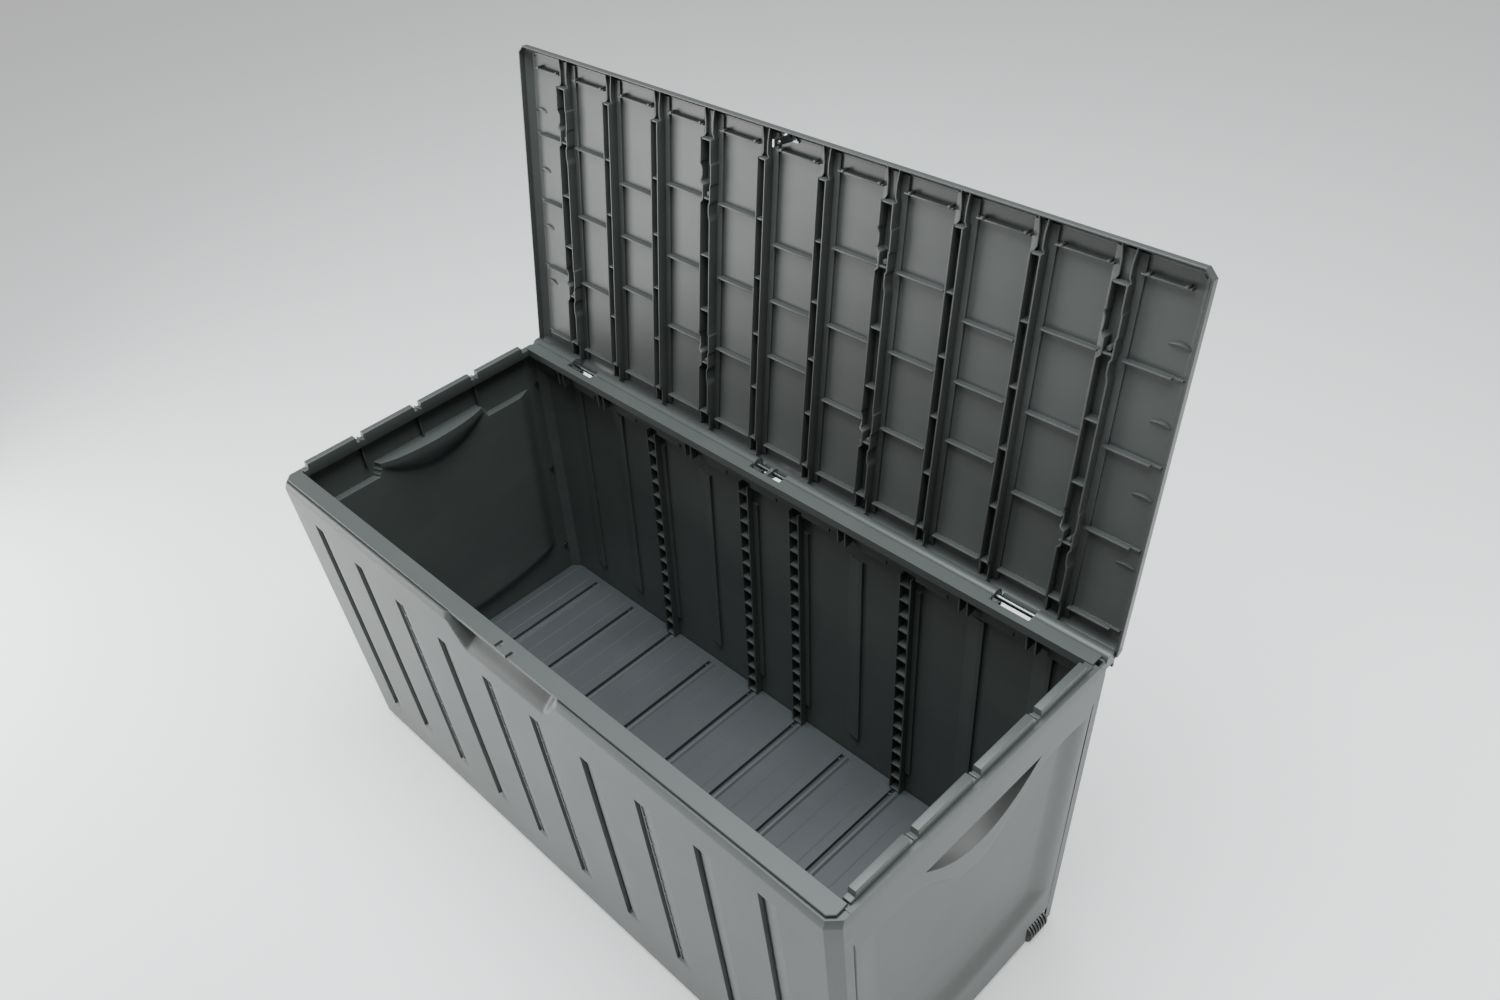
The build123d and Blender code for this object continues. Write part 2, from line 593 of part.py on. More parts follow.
    # hinge gaps for the ears, and the bore for each pin
    for hinge_x in HINGE_XS:
        with BuildSketch(Plane.YZ.offset(hinge_x - HINGE_SLOT / 2)):
            with Locations((HINGE_Y, HINGE_Z)):
                Circle(18)
        extrude(amount=HINGE_SLOT, mode=Mode.SUBTRACT)
        with BuildSketch(Plane.YZ.offset(hinge_x - HINGE_SLOT / 2 - 8)):
            with Locations((HINGE_Y, HINGE_Z)):
                Circle(PIN_R + 0.02)
        extrude(amount=HINGE_SLOT + 16, mode=Mode.SUBTRACT)
    with Locations(*[(STAPLE_X + dx, STAPLE_Y, UNDER_Z) for dx in (-8, 8)]):
        Cylinder(SCREW_R + 0.1, 4, mode=Mode.SUBTRACT)

with BuildPart() as lid:
    add(closed_lid.part.rotate(HINGE_LINE, -LID_OPENING))
keep(lid, "lid")

for place, hinge_x in zip(("left", "centre", "right"), HINGE_XS):
    with BuildPart() as pin:
        with BuildSketch(Plane.YZ.offset(hinge_x - HINGE_SLOT / 2 - 8)):
            with Locations((HINGE_Y, HINGE_Z)):
                Circle(PIN_R)
        extrude(amount=HINGE_SLOT + 16)
    keep(pin, f"{place}_hinge_pin")

with BuildPart() as closed_staple:
    blocks(
        (STAPLE_X - 12, STAPLE_X + 12, STAPLE_Y - 5, STAPLE_Y + 5, UNDER_Z - 2.5, UNDER_Z),
        (STAPLE_X - 1.5, STAPLE_X + 1.5, STAPLE_Y - 5, STAPLE_Y + 5, 550, UNDER_Z - 2),
    )
    with BuildSketch(Plane.YZ.offset(STAPLE_X - 3)):
        with Locations((STAPLE_Y, 559)):
            Circle(3.2)
    extrude(amount=6, mode=Mode.SUBTRACT)
    with Locations(*[(STAPLE_X + dx, STAPLE_Y, UNDER_Z - 1) for dx in (-8, 8)]):
        Cylinder(SCREW_R + 0.1, 6, mode=Mode.SUBTRACT)

with BuildPart() as lock_staple:
    add(closed_staple.part.rotate(HINGE_LINE, -LID_OPENING))
keep(lock_staple, "lock_staple")


# ---- fasteners ----------------------------------------------------------------------------
def screw(x, y, z, length, direction):
    """A pan-head screw: the head stands at the given point, the shank runs along a direction."""
    seat = Plane(origin=(x, y, z), z_dir=direction)
    with BuildSketch(seat.offset(-2.2)) as head:
        Circle(2 * SCREW_R)
    extrude(head.sketch, amount=2.2)
    with BuildSketch(seat) as shank:
        Circle(SCREW_R)
    extrude(shank.sketch, amount=length)


with BuildPart() as corner_screws:
    for end in (-1, 1):
        for side in (-1, 1):
            for z in CORNER_SCREW_ZS:
                x = x_face(z) - 2 * WALL
                screw(end * x, side * (joint_y(z) + 5), z, 2 * WALL - 1.2, (end, 0, 0))
keep(corner_screws, "corner_screws")

with BuildPart() as floor_screws:
    for x in FLOOR_SCREW_XS:
        for side in (-1, 1):
            screw(x, side * FLOOR_SCREW_Y, FLOOR_Z - 9, 8.2, (0, 0, 1))
keep(floor_screws, "floor_screws")

with BuildPart() as bracket_screws:
    for x, y in BRACKET_SCREWS:
        screw(x, y, 44.5, 4.6, (0, 0, 1))
keep(bracket_screws, "bracket_screws")

with BuildPart() as closed_staple_screws:
    for dx in (-8, 8):
        screw(STAPLE_X + dx, STAPLE_Y, UNDER_Z - 2.5, 4.3, (0, 0, 1))

with BuildPart() as staple_screws:
    add(closed_staple_screws.part.rotate(HINGE_LINE, -LID_OPENING))
keep(staple_screws, "staple_screws")
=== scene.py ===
"""Looks of the deck storage box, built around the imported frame.

The four walls and the lid are moulded sheets with soft edges; the small hardware keeps its
CAD shape.  Lengths in this file are millimetres until a mesh is made, which is in metres.
"""

import json
import math

import bmesh
import bpy
import numpy as np
from mathutils import Euler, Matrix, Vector


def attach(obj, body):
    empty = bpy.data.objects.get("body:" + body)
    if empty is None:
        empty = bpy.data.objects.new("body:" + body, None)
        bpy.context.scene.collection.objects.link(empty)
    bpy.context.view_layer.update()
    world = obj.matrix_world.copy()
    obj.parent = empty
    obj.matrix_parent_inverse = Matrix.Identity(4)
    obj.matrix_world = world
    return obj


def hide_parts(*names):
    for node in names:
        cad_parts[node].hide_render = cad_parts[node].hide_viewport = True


MM = 0.001

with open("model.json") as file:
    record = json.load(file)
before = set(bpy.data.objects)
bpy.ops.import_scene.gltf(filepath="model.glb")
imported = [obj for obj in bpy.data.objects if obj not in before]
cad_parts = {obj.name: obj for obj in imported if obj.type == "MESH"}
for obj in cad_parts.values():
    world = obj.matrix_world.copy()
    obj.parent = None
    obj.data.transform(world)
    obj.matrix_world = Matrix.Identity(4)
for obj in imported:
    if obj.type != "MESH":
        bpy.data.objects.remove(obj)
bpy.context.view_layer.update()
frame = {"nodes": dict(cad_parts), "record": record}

# ---- the maker's dimensions ---------------------------------------------------------------
WALL = 3.0  # moulded wall
PITCH = 110.4  # width of one plank
SEAMS = (np.arange(10) - 4.5) * PITCH
BASE_Z, BEVEL_Z, SHOULDER_Z, RIM_Z = 12.0, 558.0, 568.0, 572.0
X_BASE, X_TOP = 584.0, 598.0
Y_BASE, Y_TOP = 241.0, 266.0
CORNER = 15.0
JOINT_Y = 237.0
PLATE_X, PLATE_IN, PLATE_OUT = 588.0, 231.0, 258.0

LID_X, LID_FRONT, LID_BACK = 600.0, 262.0, 252.0
LID_TOP, SKIRT_Z, SKIRT = 591.0, 568.3, 2.4
UNDER_Z = LID_TOP - WALL
BEVEL = 12.0  # slope between the top of the lid and its skirt
BACK_Z, BACK_R, BACK_R_IN = 569.0, 22.0, 19.0  # the lid's rolled back edge
ROLL_R = 11.5  # the tube round the hinge line
HINGE_Y, HINGE_Z = 263.0, 562.0
HINGE_XS, HINGE_SLOT = (-452.0, 0.0, 452.0), 64.0
LID_OPENING = math.radians(98.0)

NOTCHES = (-122.0, -8.0, 111.0)
HANDLE_Z, HANDLE_HALF, HANDLE_SAG, HANDLE_DEEP = 502.0, 112.0, 54.0, 29.0
HANDLE_Y = 6.0
FIELD_DEEP = 12.0  # how far the sunk field of an end wall lies in
STAPLE_X = -16.5
WHEEL_Y = 188.0
FLOOR_Z = 50.0


# ---- shapes worked out as arrays ----------------------------------------------------------
def ease(t):
    """Smooth step: 0 below 0, 1 above 1, and 3t^2 - 2t^3 between."""
    t = np.clip(t, 0.0, 1.0)
    return t * t * (3.0 - 2.0 * t)


def half_length(z):
    """Half length of the leaning box on the outside of an end wall: linear in height."""
    return X_BASE + (X_TOP - X_BASE) * (z - BASE_Z) / (BEVEL_Z - BASE_Z)


def half_depth(z):
    """Half depth of the leaning box on the outside of a long wall: linear in height."""
    return Y_BASE + (Y_TOP - Y_BASE) * (z - BASE_Z) / (BEVEL_Z - BASE_Z)


def joint_y(z):
    """Where a long wall meets an end wall: follows the lean of the long wall."""
    return JOINT_Y - (Y_TOP - Y_BASE) / (BEVEL_Z - BASE_Z) * (SHOULDER_Z - z)


def swept(sections):
    """A closed outline carried through stations: sections[i, j] is outline point j at
    station i.  Walls join neighbouring stations and the two end outlines are filled."""
    n, m = sections.shape[:2]
    here = np.arange(n * m).reshape(n, m)
    beside = np.roll(here, -1, axis=1)
    walls = np.stack([here[:-1], here[1:], beside[1:], beside[:-1]], -1).reshape(-1, 4)
    return sections.reshape(-1, 3), [walls, here[:1, ::-1], here[-1:]]


def blocks(corners):
    """Upright blocks, one for each row of x0, x1, y0, y1, z0, z1."""
    c = np.asarray(corners, float).reshape(-1, 6)
    pick = [[0, 2, 4], [1, 2, 4], [1, 3, 4], [0, 3, 4], [0, 2, 5], [1, 2, 5], [1, 3, 5], [0, 3, 5]]
    sides = [[0, 3, 2, 1], [4, 5, 6, 7], [0, 1, 5, 4], [1, 2, 6, 5], [2, 3, 7, 6], [3, 0, 4, 7]]
    faces = np.array(sides)[None] + 8 * np.arange(len(c))[:, None, None]
    return c[:, np.array(pick)].reshape(-1, 3), [faces.reshape(-1, 4)]


def along(path, profile):
    """A closed profile (u to the left of the path, z up) carried along a plan path.  At each
    bend the offset is the mean of the two normals, stretched so the strip keeps its width."""
    path, profile = np.asarray(path, float), np.asarray(profile, float)
    step = np.diff(path, axis=0)
    normal = np.stack([-step[:, 1], step[:, 0]], -1) / np.linalg.norm(step, axis=1)[:, None]
    before = np.vstack([normal[:1], normal])
    after = np.vstack([normal, normal[-1:]])
    mitre = (before + after) / (1 + np.sum(before * after, axis=1))[:, None]
    profile = np.broadcast_to(profile, (len(path),) + profile.shape[-2:])
    plan = path[:, None] + mitre[:, None] * profile[..., :1]
    return swept(np.concatenate([plan, profile[..., 1:]], -1))


def strip(path, low, high, thick):
    """An upright strip of even thickness along a plan path, each edge at its own heights."""
    low, high = (np.broadcast_to(h, len(path)).astype(float) for h in (low, high))
    half = np.full(len(path), thick / 2)
    outline = np.stack([-half, low, half, low, half, high, -half, high], -1)
    return along(path, outline.reshape(-1, 4, 2))


def extruded(outline, x0, x1):
    """A closed outline in y and z, carried straight along x."""
    outline = np.asarray(outline, float)
    ends = [np.column_stack([np.full(len(outline), x), outline]) for x in (x0, x1)]
    return swept(np.array(ends))


def peg(x, y, z0, z1, radius):
    """An upright round peg: a circle of sixteen points at two heights."""
    turn = np.arange(16) * math.pi / 8
    ring = np.stack([x + radius * np.cos(turn), y + radius * np.sin(turn)], -1)
    return swept(np.array([np.column_stack([ring, np.full(16, z)]) for z in (z0, z1)]))


def arc(y, z, radius, start, end, count=12):
    """Points of an arc in y and z, angles in degrees from +y towards +z."""
    turn = np.radians(np.linspace(start, end, count))
    return np.stack([y + radius * np.cos(turn), z + radius * np.sin(turn)], -1)


def opened(points):
    """Turns points of the closed lid back about the hinge line by the lid's opening."""
    c, s = math.cos(-LID_OPENING), math.sin(-LID_OPENING)
    y, z = points[:, 1] - HINGE_Y, points[:, 2] - HINGE_Z
    return np.stack([points[:, 0], HINGE_Y + c * y - s * z, HINGE_Z + s * y + c * z], -1)


# ---- making pieces ------------------------------------------------------------------------
def mesh_of(name, parts, place):
    """One mesh from several (points, faces) parts, in metres."""
    starts = np.cumsum([0] + [len(points) for points, _ in parts])
    faces = [row for (_, sets), k in zip(parts, starts) for f in sets for row in (f + k).tolist()]
    points = place(np.concatenate([points for points, _ in parts]))
    mesh = bpy.data.meshes.new(name)
    mesh.from_pydata((points * MM).tolist(), [], faces)
    return mesh


def cut(mesh, cutters):
    """The mesh with closed cutter parts taken out of it, its cut seams joined up."""
    body = bpy.data.objects.new("cut body", mesh)
    tool = bpy.data.objects.new("cutter", mesh_of("cutter", cutters, lambda p: p))
    for o in (body, tool):
        bpy.context.scene.collection.objects.link(o)
    tidy = bmesh.new()
    tidy.from_mesh(tool.data)
    bmesh.ops.recalc_face_normals(tidy, faces=tidy.faces)
    tidy.to_mesh(tool.data)
    tidy.free()
    difference = body.modifiers.new("difference", "BOOLEAN")
    difference.object, difference.operation, difference.solver = tool, "DIFFERENCE", "EXACT"
    bpy.context.view_layer.update()
    graph = bpy.context.evaluated_depsgraph_get()
    result = bpy.data.meshes.new_from_object(body.evaluated_get(graph))
    seam = bmesh.new()
    seam.from_mesh(result)
    bmesh.ops.remove_doubles(seam, verts=seam.verts, dist=0.02 * MM)
    bmesh.ops.holes_fill(seam, edges=[e for e in seam.edges if e.is_boundary], sides=12)
    seam.to_mesh(result)
    seam.free()
    for o in (body, tool):
        bpy.data.objects.remove(o)
    return result


def piece(name, sheets, ribs, body, material, replaces, soft=0.5, holes=(), place=None):
    """A finished piece: soft sheets as they are, and ribs whose sharp edges are rounded."""
    place = place or (lambda points: points)
    shape = bmesh.new()
    if ribs:
        shape.from_mesh(mesh_of(name, ribs, place))
        bmesh.ops.recalc_face_normals(shape, faces=shape.faces)
        sharp = [e for e in shape.edges if len(e.link_faces) == 2 and e.calc_face_angle() > 0.6]
        bmesh.ops.bevel(
            shape, geom=sharp, offset=soft * MM, segments=2, profile=0.5, affect="EDGES"
        )
    sheet = bmesh.new()
    for part in sheets:
        sheet.from_mesh(mesh_of(name, [part], place))
    bmesh.ops.recalc_face_normals(sheet, faces=sheet.faces)
    mesh = bpy.data.meshes.new(name)
    sheet.to_mesh(mesh)
    sheet.free()
    if holes:
        mesh = cut(mesh, list(holes))
    shape.from_mesh(mesh)
    mesh = bpy.data.meshes.new(name)
    shape.to_mesh(mesh)
    shape.free()
    mesh.shade_smooth()
    mesh.set_sharp_from_angle(angle=math.radians(28))
    mesh.materials.append(material)
    made = bpy.data.objects.new(name, mesh)
    bpy.context.scene.collection.objects.link(made)
    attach(made, body)
    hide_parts(*replaces)
    return made


# ---- materials ----------------------------------------------------------------------------
def linear(code):
    """sRGB hex to a linear colour with full alpha."""
    values = [int(code[i : i + 2], 16) / 255 for i in (0, 2, 4)]
    return [v / 12.92 if v <= 0.04045 else ((v + 0.055) / 1.055) ** 2.4 for v in values] + [1.0]


def node(tree, kind, settings=(), inputs=(), links=()):
    """Adds one node: its settings, its input values, and links as (input, node, output)."""
    made = tree.nodes.new(kind)
    for key, value in dict(settings).items():
        setattr(made, key, value)
    for key, value in dict(inputs).items():
        made.inputs[key].default_value = value
    for key, source, output in links:
        tree.links.new(source.outputs[output], made.inputs[key])
    return made


def moulded(name, dark, light, roughness, grain_mm, grain_depth_mm, edge_mm=0.6):
    """Moulded plastic: a clouded colour between two shades, and a fine pitted grain that
    breaks up the gloss.  Edges are rounded by a small radius in the shading."""
    material = bpy.data.materials.new(name)
    material.use_nodes = True
    tree = material.node_tree
    tree.nodes.clear()
    place = node(tree, "ShaderNodeTexCoord")
    at = ("Vector", place, "Object")
    clouds = node(tree, "ShaderNodeTexNoise", inputs={"Scale": 7.0, "Detail": 4.0}, links=[at])
    flow = node(
        tree, "ShaderNodeMapping", inputs={"Scale": (2.0, 2.0, 7.0)}, links=[at]
    )
    streaks = node(
        tree,
        "ShaderNodeTexNoise",
        inputs={"Scale": 3.0, "Detail": 3.0},
        links=[("Vector", flow, "Vector")],
    )
    blend = node(
        tree,
        "ShaderNodeMath",
        settings={"operation": "MULTIPLY"},
        links=[(0, clouds, "Fac"), (1, streaks, "Fac")],
    )
    spread = node(
        tree,
        "ShaderNodeMapRange",
        inputs={"From Min": 0.02, "From Max": 0.55},
        links=[("Value", blend, "Value")],
    )
    colour = node(
        tree,
        "ShaderNodeMix",
        settings={"data_type": "RGBA"},
        inputs={6: linear(dark), 7: linear(light)},
        links=[(0, spread, "Result")],
    )
    grain = node(
        tree,
        "ShaderNodeTexNoise",
        inputs={"Scale": 1000.0 / grain_mm, "Detail": 2.0},
        links=[at],
    )
    gloss = node(
        tree,
        "ShaderNodeMapRange",
        inputs={"To Min": roughness - 0.05, "To Max": roughness + 0.08},
        links=[("Value", clouds, "Fac")],
    )
    edge = node(
        tree, "ShaderNodeBevel", settings={"samples": 4}, inputs={"Radius": edge_mm * MM}
    )
    bump = node(
        tree,
        "ShaderNodeBump",
        inputs={"Strength": 0.6, "Distance": grain_depth_mm * MM},
        links=[("Height", grain, "Fac"), ("Normal", edge, "Normal")],
    )
    shader = node(
        tree,
        "ShaderNodeBsdfPrincipled",
        inputs={"IOR": 1.49},
        links=[
            ("Base Color", colour, 2),
            ("Roughness", gloss, "Result"),
            ("Normal", bump, "Normal"),
        ],
    )
    node(tree, "ShaderNodeOutputMaterial", links=[("Surface", shader, "BSDF")])
    return material


# Polypropylene, injection moulded in a lightly etched tool: dark grey, satin, with a soft
# sheen on long flat runs.  The etched grain is finer than it can show, so it is drawn coarser.
WALL_RESIN = moulded("polypropylene walls", "424543", "4b4e4b", 0.46, 1.6, 0.05)
LID_RESIN = moulded("polypropylene lid", "3f413f", "484a48", 0.40, 1.6, 0.05)
FLOOR_RESIN = moulded("polypropylene floor", "3b3d3e", "454748", 0.48, 1.6, 0.05)
# Black nylon-like roller plastic, smoother and darker than the walls.
ROLLER_PLASTIC = moulded("black roller plastic", "161617", "202021", 0.38, 1.2, 0.04)


def plated_steel(name):
    """Zinc-plated steel: a grey metal with fine drawn lines along its length."""
    material = bpy.data.materials.new(name)
    material.use_nodes = True
    tree = material.node_tree
    tree.nodes.clear()
    place = node(tree, "ShaderNodeTexCoord")
    drawn = node(
        tree,
        "ShaderNodeMapping",
        inputs={"Scale": (60.0, 900.0, 900.0)},
        links=[("Vector", place, "Object")],
    )
    lines = node(
        tree,
        "ShaderNodeTexNoise",
        inputs={"Scale": 1.0, "Detail": 2.0},
        links=[("Vector", drawn, "Vector")],
    )
    gloss = node(
        tree,
        "ShaderNodeMapRange",
        inputs={"To Min": 0.24, "To Max": 0.42},
        links=[("Value", lines, "Fac")],
    )
    bump = node(
        tree,
        "ShaderNodeBump",
        inputs={"Strength": 0.3, "Distance": 0.02 * MM},
        links=[("Height", lines, "Fac")],
    )
    shader = node(
        tree,
        "ShaderNodeBsdfPrincipled",
        inputs={"Base Color": linear("85878a"), "Metallic": 1.0},
        links=[("Roughness", gloss, "Result"), ("Normal", bump, "Normal")],
    )
    node(tree, "ShaderNodeOutputMaterial", links=[("Surface", shader, "BSDF")])
    return material


STEEL = plated_steel("zinc plated steel")

FINISHES = {
    "resin": WALL_RESIN,
    "resin_floor": FLOOR_RESIN,
    "resin_lid": LID_RESIN,
    "roller_plastic": ROLLER_PLASTIC,
    "steel": STEEL,
}
for entry in frame["record"]["subparts"]:
    kept = frame["nodes"][entry["node"]]
    kept.data.materials.clear()
    kept.data.materials.append(FINISHES[entry["material_slot"]])


# ---- front wall ---------------------------------------------------------------------------
GROOVE_DEEP, GROOVE_SLOT, GROOVE_WIDE = 8.0, 6.0, 30.0
SCOOP_Y, SCOOP_RISE = 241.0, 28.0  # back of the finger scoop, height it takes to reach it


def grooves(x, z):
    """Depth of the plank grooves: straight in over 1 mm beside each seam, level for the width
    of the slot, then a ramp back out, all faded out at the groove's foot and head."""
    i = np.arange(10)
    u = x[..., None] - (SEAMS - 18.0)
    ramp = np.clip((GROOVE_WIDE - u) / (GROOVE_WIDE - GROOVE_SLOT), 0, 1)
    cross = np.clip(u, 0, 1) * np.where(u < GROOVE_SLOT, 1.0, 0.62 * ramp)
    head = 480.0 + 37.0 * ((i - 4.5) / 4.5) ** 2
    foot = np.where(i == 0, 72.0, 98.0)
    fade = ease((z[..., None] - foot) / 5.0) * ease((head - z[..., None]) / 5.0)
    return GROOVE_DEEP * np.max(cross * fade, axis=-1)


def scoop_sill(x):
    """Lower edge of the finger scoop: level in the middle, eased up to the rim at its ends."""
    return 516.0 + 54.0 * ease((np.abs(x + 5.5) - 84.0) / 52.0)


def scoop(x, z):
    """Depth of the finger scoop: from its sill, which climbs to the rim at both ends, the
    wall curves in until it stands at the scoop's back."""
    return (half_depth(z) - SCOOP_Y) * ease((z - scoop_sill(x)) / SCOOP_RISE)


def long_wall_columns(x, half_x, y, corner, joint):
    """Plan points of one row of a long wall, from joint to joint round both corners.  The
    inner columns keep their own x; the three at each end follow the corner's chamfer."""
    left = [(-half_x, joint), (-half_x, y - corner), (-half_x + corner, y)]
    right = [(half_x - corner, y), (half_x, y - corner), (half_x, joint)]
    return np.array(left + [(v, y) for v in x] + right)


STAPLE_HOLE = (STAPLE_X - 5.5, STAPLE_X + 5.5, -256, -243, RIM_Z - 16, RIM_Z + 2)
SHACKLE_SLOT = (6, 15, -262, -247, RIM_Z - 16, RIM_Z + 2)

ACROSS = np.unique(
    np.concatenate(
        [
            np.arange(-560.0, 561.0, 10.0),
            (SEAMS[:, None] - 18.0 + np.array([0.0, 1.0, 6.0, 7.0, 17.0, 30.0])).ravel(),
            np.arange(-145.0, 136.0, 4.0),
        ]
    ).round(2)
)
WALL_ROWS = np.unique(
    np.concatenate(
        [
            [BASE_Z, 66, 69, 72, 77, 94, 98, 103],
            np.arange(BASE_Z + 10, 470, 14),
            np.arange(474.0, BEVEL_Z, 3.5),
            [BEVEL_Z],
        ]
    )
)


def front_wall():
    """Outline of the front wall at every column: up the outside, over the shoulder and the
    rim plate, down the inner lip, and back down the inside, 3 mm behind the outside."""
    rows = []

    def row(z, half_x, y, corner, joint, deep=None):
        plan = long_wall_columns(ACROSS, half_x, y, corner, joint)
        line_y = -plan[:, 1]
        if deep is not None:
            line_y = line_y + deep(plan[:, 0], np.full(len(plan), z))
        rows.append(np.column_stack([plan[:, 0], line_y, np.full(len(plan), z)]))

    def relief(x, z):
        return np.maximum(grooves(x, z), scoop(x, z))

    for z in WALL_ROWS:
        row(z, half_length(z), half_depth(z), CORNER, joint_y(z), relief)
    def top_relief(x, z):
        return (Y_TOP - 4 - SCOOP_Y) * ease((SHOULDER_Z - scoop_sill(x)) / SCOOP_RISE)

    row(SHOULDER_Z, X_TOP - 1, Y_TOP - 4, CORNER, JOINT_Y, top_relief)
    row(SHOULDER_Z, PLATE_X + 2, PLATE_OUT + 2, 9, JOINT_Y, top_relief)
    row(SHOULDER_Z - 1.6, PLATE_X + 1.6, PLATE_OUT + 1.6, 9, JOINT_Y, top_relief)
    row(SHOULDER_Z - 1.6, PLATE_X, PLATE_OUT, 8, JOINT_Y)
    row(RIM_Z - 0.7, PLATE_X, PLATE_OUT, 8, JOINT_Y)
    row(RIM_Z, PLATE_X - 0.7, PLATE_OUT - 0.7, 8, JOINT_Y)
    row(RIM_Z, PLATE_X - 0.7, PLATE_IN + 0.7, 0.5, PLATE_IN + 0.7)
    row(RIM_Z - 0.7, PLATE_X - 0.7, PLATE_IN, 0.5, PLATE_IN)
    row(RIM_Z - 14, PLATE_X - 0.7, PLATE_IN, 0.5, PLATE_IN)
    row(RIM_Z - 14, PLATE_X - 0.7, PLATE_IN + 2.5, 0.5, PLATE_IN + 2.5)
    row(RIM_Z - WALL, PLATE_X - 0.7, PLATE_IN + 2.5, 0.5, PLATE_IN + 2.5)
    row(RIM_Z - WALL, PLATE_X - 2, PLATE_OUT - WALL, 7, JOINT_Y - 1, top_relief)
    row(SHOULDER_Z - WALL, PLATE_X - 2, PLATE_OUT - WALL, 7, JOINT_Y - 1, top_relief)
    for z in WALL_ROWS[::-1]:
        row(z, half_length(z) - WALL, half_depth(z) - WALL, CORNER - 1.2, joint_y(z),
            lambda x, z: 0.6 * grooves(x, z) + scoop(x, z))
    return swept(np.stack(rows, axis=1))


def ladder(side, foot, head):
    """Four stiffening columns inside a long wall: two ribs and short rungs, leaning with it.
    The middle number of each block is its distance from the wall's inner face."""
    deep, gap = 15.0, 10.0
    bars = []
    for x in (-2.5 * PITCH, -0.5 * PITCH, 0.5 * PITCH, 2.5 * PITCH):
        bars += [(x + s * gap - 1.25, x + s * gap + 1.25, -0.5, deep, foot, head) for s in (-1, 1)]
        bars += [(x - gap, x + gap, -0.5, deep, z, z + 2.5) for z in np.arange(foot, head, 30.0)]
    points, faces = blocks(bars)
    points[:, 1] = side * (half_depth(points[:, 2]) - WALL - points[:, 1])
    return points, faces


def ledge(side):
    """The strip inside a long wall that the floor is screwed down to."""
    outer, inner = side * (half_depth(44.0) - WALL + 0.2), side * (half_depth(50.0) - WALL - 12)
    return blocks([(-572, 572, min(outer, inner), max(outer, inner), FLOOR_Z - 9, FLOOR_Z - 3)])


piece(
    "front_panel_moulding",
    [front_wall()],
    [ladder(-1, 40, 490), ledge(-1)],
    "box",
    WALL_RESIN,
    ["front_panel"],
    holes=[blocks([STAPLE_HOLE, SHACKLE_SLOT])],
)


# ---- end walls ----------------------------------------------------------------------------
def end_rows(y):
    """Heights of the end wall's rows at every y, with how far each lies into the sunk field
    (0 to 1) and into the handle (0 to 1).  The rows follow the feature lines: the field's
    curved foot, its head that dips round the handle, the handle's lower arc and its roof."""
    q = np.clip(np.abs(y) / 205.0, 0, 1) ** 2
    foot = 84.0 + 30.0 * q
    dip = 0.5 + 0.5 * np.cos(math.pi * np.clip(np.abs(y - 2) / 146.0, 0, 1))
    head = 487.0 - 82.0 * dip
    inside = np.clip(1 - ((y - HANDLE_Y) / HANDLE_HALF) ** 2, 0, 1)
    sag = HANDLE_Z - 0.4 - HANDLE_SAG * inside
    lines = [
        (np.full_like(y, BASE_Z), 6, 0, 0),
        (foot, 5, 0, 1),
        (foot + 24.0, 26, 1, 1),
        (head - 24.0, 6, 1, 0),
        (head, 5, 0, 0),
        (sag, 16, 0, 0),
    ]
    heights, sunk, cup = [], [], []
    ends = [line[0] for line in lines[1:]] + [np.full_like(y, HANDLE_Z)]
    for (low, count, a, b), high in zip(lines, ends):
        for t in np.arange(count) / count:
            heights.append(low + (high - low) * t)
            sunk.append(a + (b - a) * t)
            cup.append(t if low is sag else 0.0)
    heights += [np.full_like(y, HANDLE_Z), np.full_like(y, HANDLE_Z + 0.5)]
    sunk += [0, 0]
    cup += [1.0, 0.0]
    for z in np.linspace(HANDLE_Z + 8, BEVEL_Z, 5):
        heights.append(np.full_like(y, z))
        sunk.append(0)
        cup.append(0.0)
    return np.array(heights), np.array(sunk, float), np.array(cup)


def end_inside(y, z):
    """How far the inside of an end wall stands in from the line of its outside: the sunk
    field with a straight head that steps up behind the handle, and the cup of the handle."""
    q = np.clip(np.abs(y) / 205.0, 0, 1) ** 2
    ledge_z = 487.0 + 25.0 * ease((118.0 - np.abs(y - HANDLE_Y)) / 12.0)
    edge_y = 224.0 - 20.0 * (487.0 - z) / 389.0
    field = (FIELD_DEEP * ease((z - 86.0 - 30.0 * q) / 24.0) * ease((edge_y - np.abs(y)) / 34.0)
             * np.clip((ledge_z - z) / 1.5, 0, 1))
    reach = np.clip(1 - ((y - HANDLE_Y) / (HANDLE_HALF + 6)) ** 2, 0, 1)
    sag = HANDLE_Z - (HANDLE_SAG + 6) * reach
    share = np.clip((z - sag) / np.maximum(HANDLE_Z - sag, 1.0), 0, 1)
    cup = (HANDLE_DEEP + 1.0) * np.sqrt(reach) * (1 - (1 - share) ** 2) * (z < ledge_z)
    return WALL + np.maximum(field, cup)


END_STATIONS = np.concatenate([
    np.linspace(0, 1, 4)[:-1], np.linspace(1, 2, 7)[:-1], np.linspace(2, 4, 97),
    np.linspace(4, 5, 7)[1:], np.linspace(5, 6, 4)[1:],
])
INSIDE_ROWS = np.concatenate([
    [BASE_Z, 70], np.arange(86.0, 144.0, 5.0), np.arange(160.0, 430.0, 24.0),
    np.arange(436.0, 485.0, 3.0), [485.5, 487, 490], np.arange(494.0, 510.0, 4.0),
    [510.5, 512, 515, 540, 560],
])


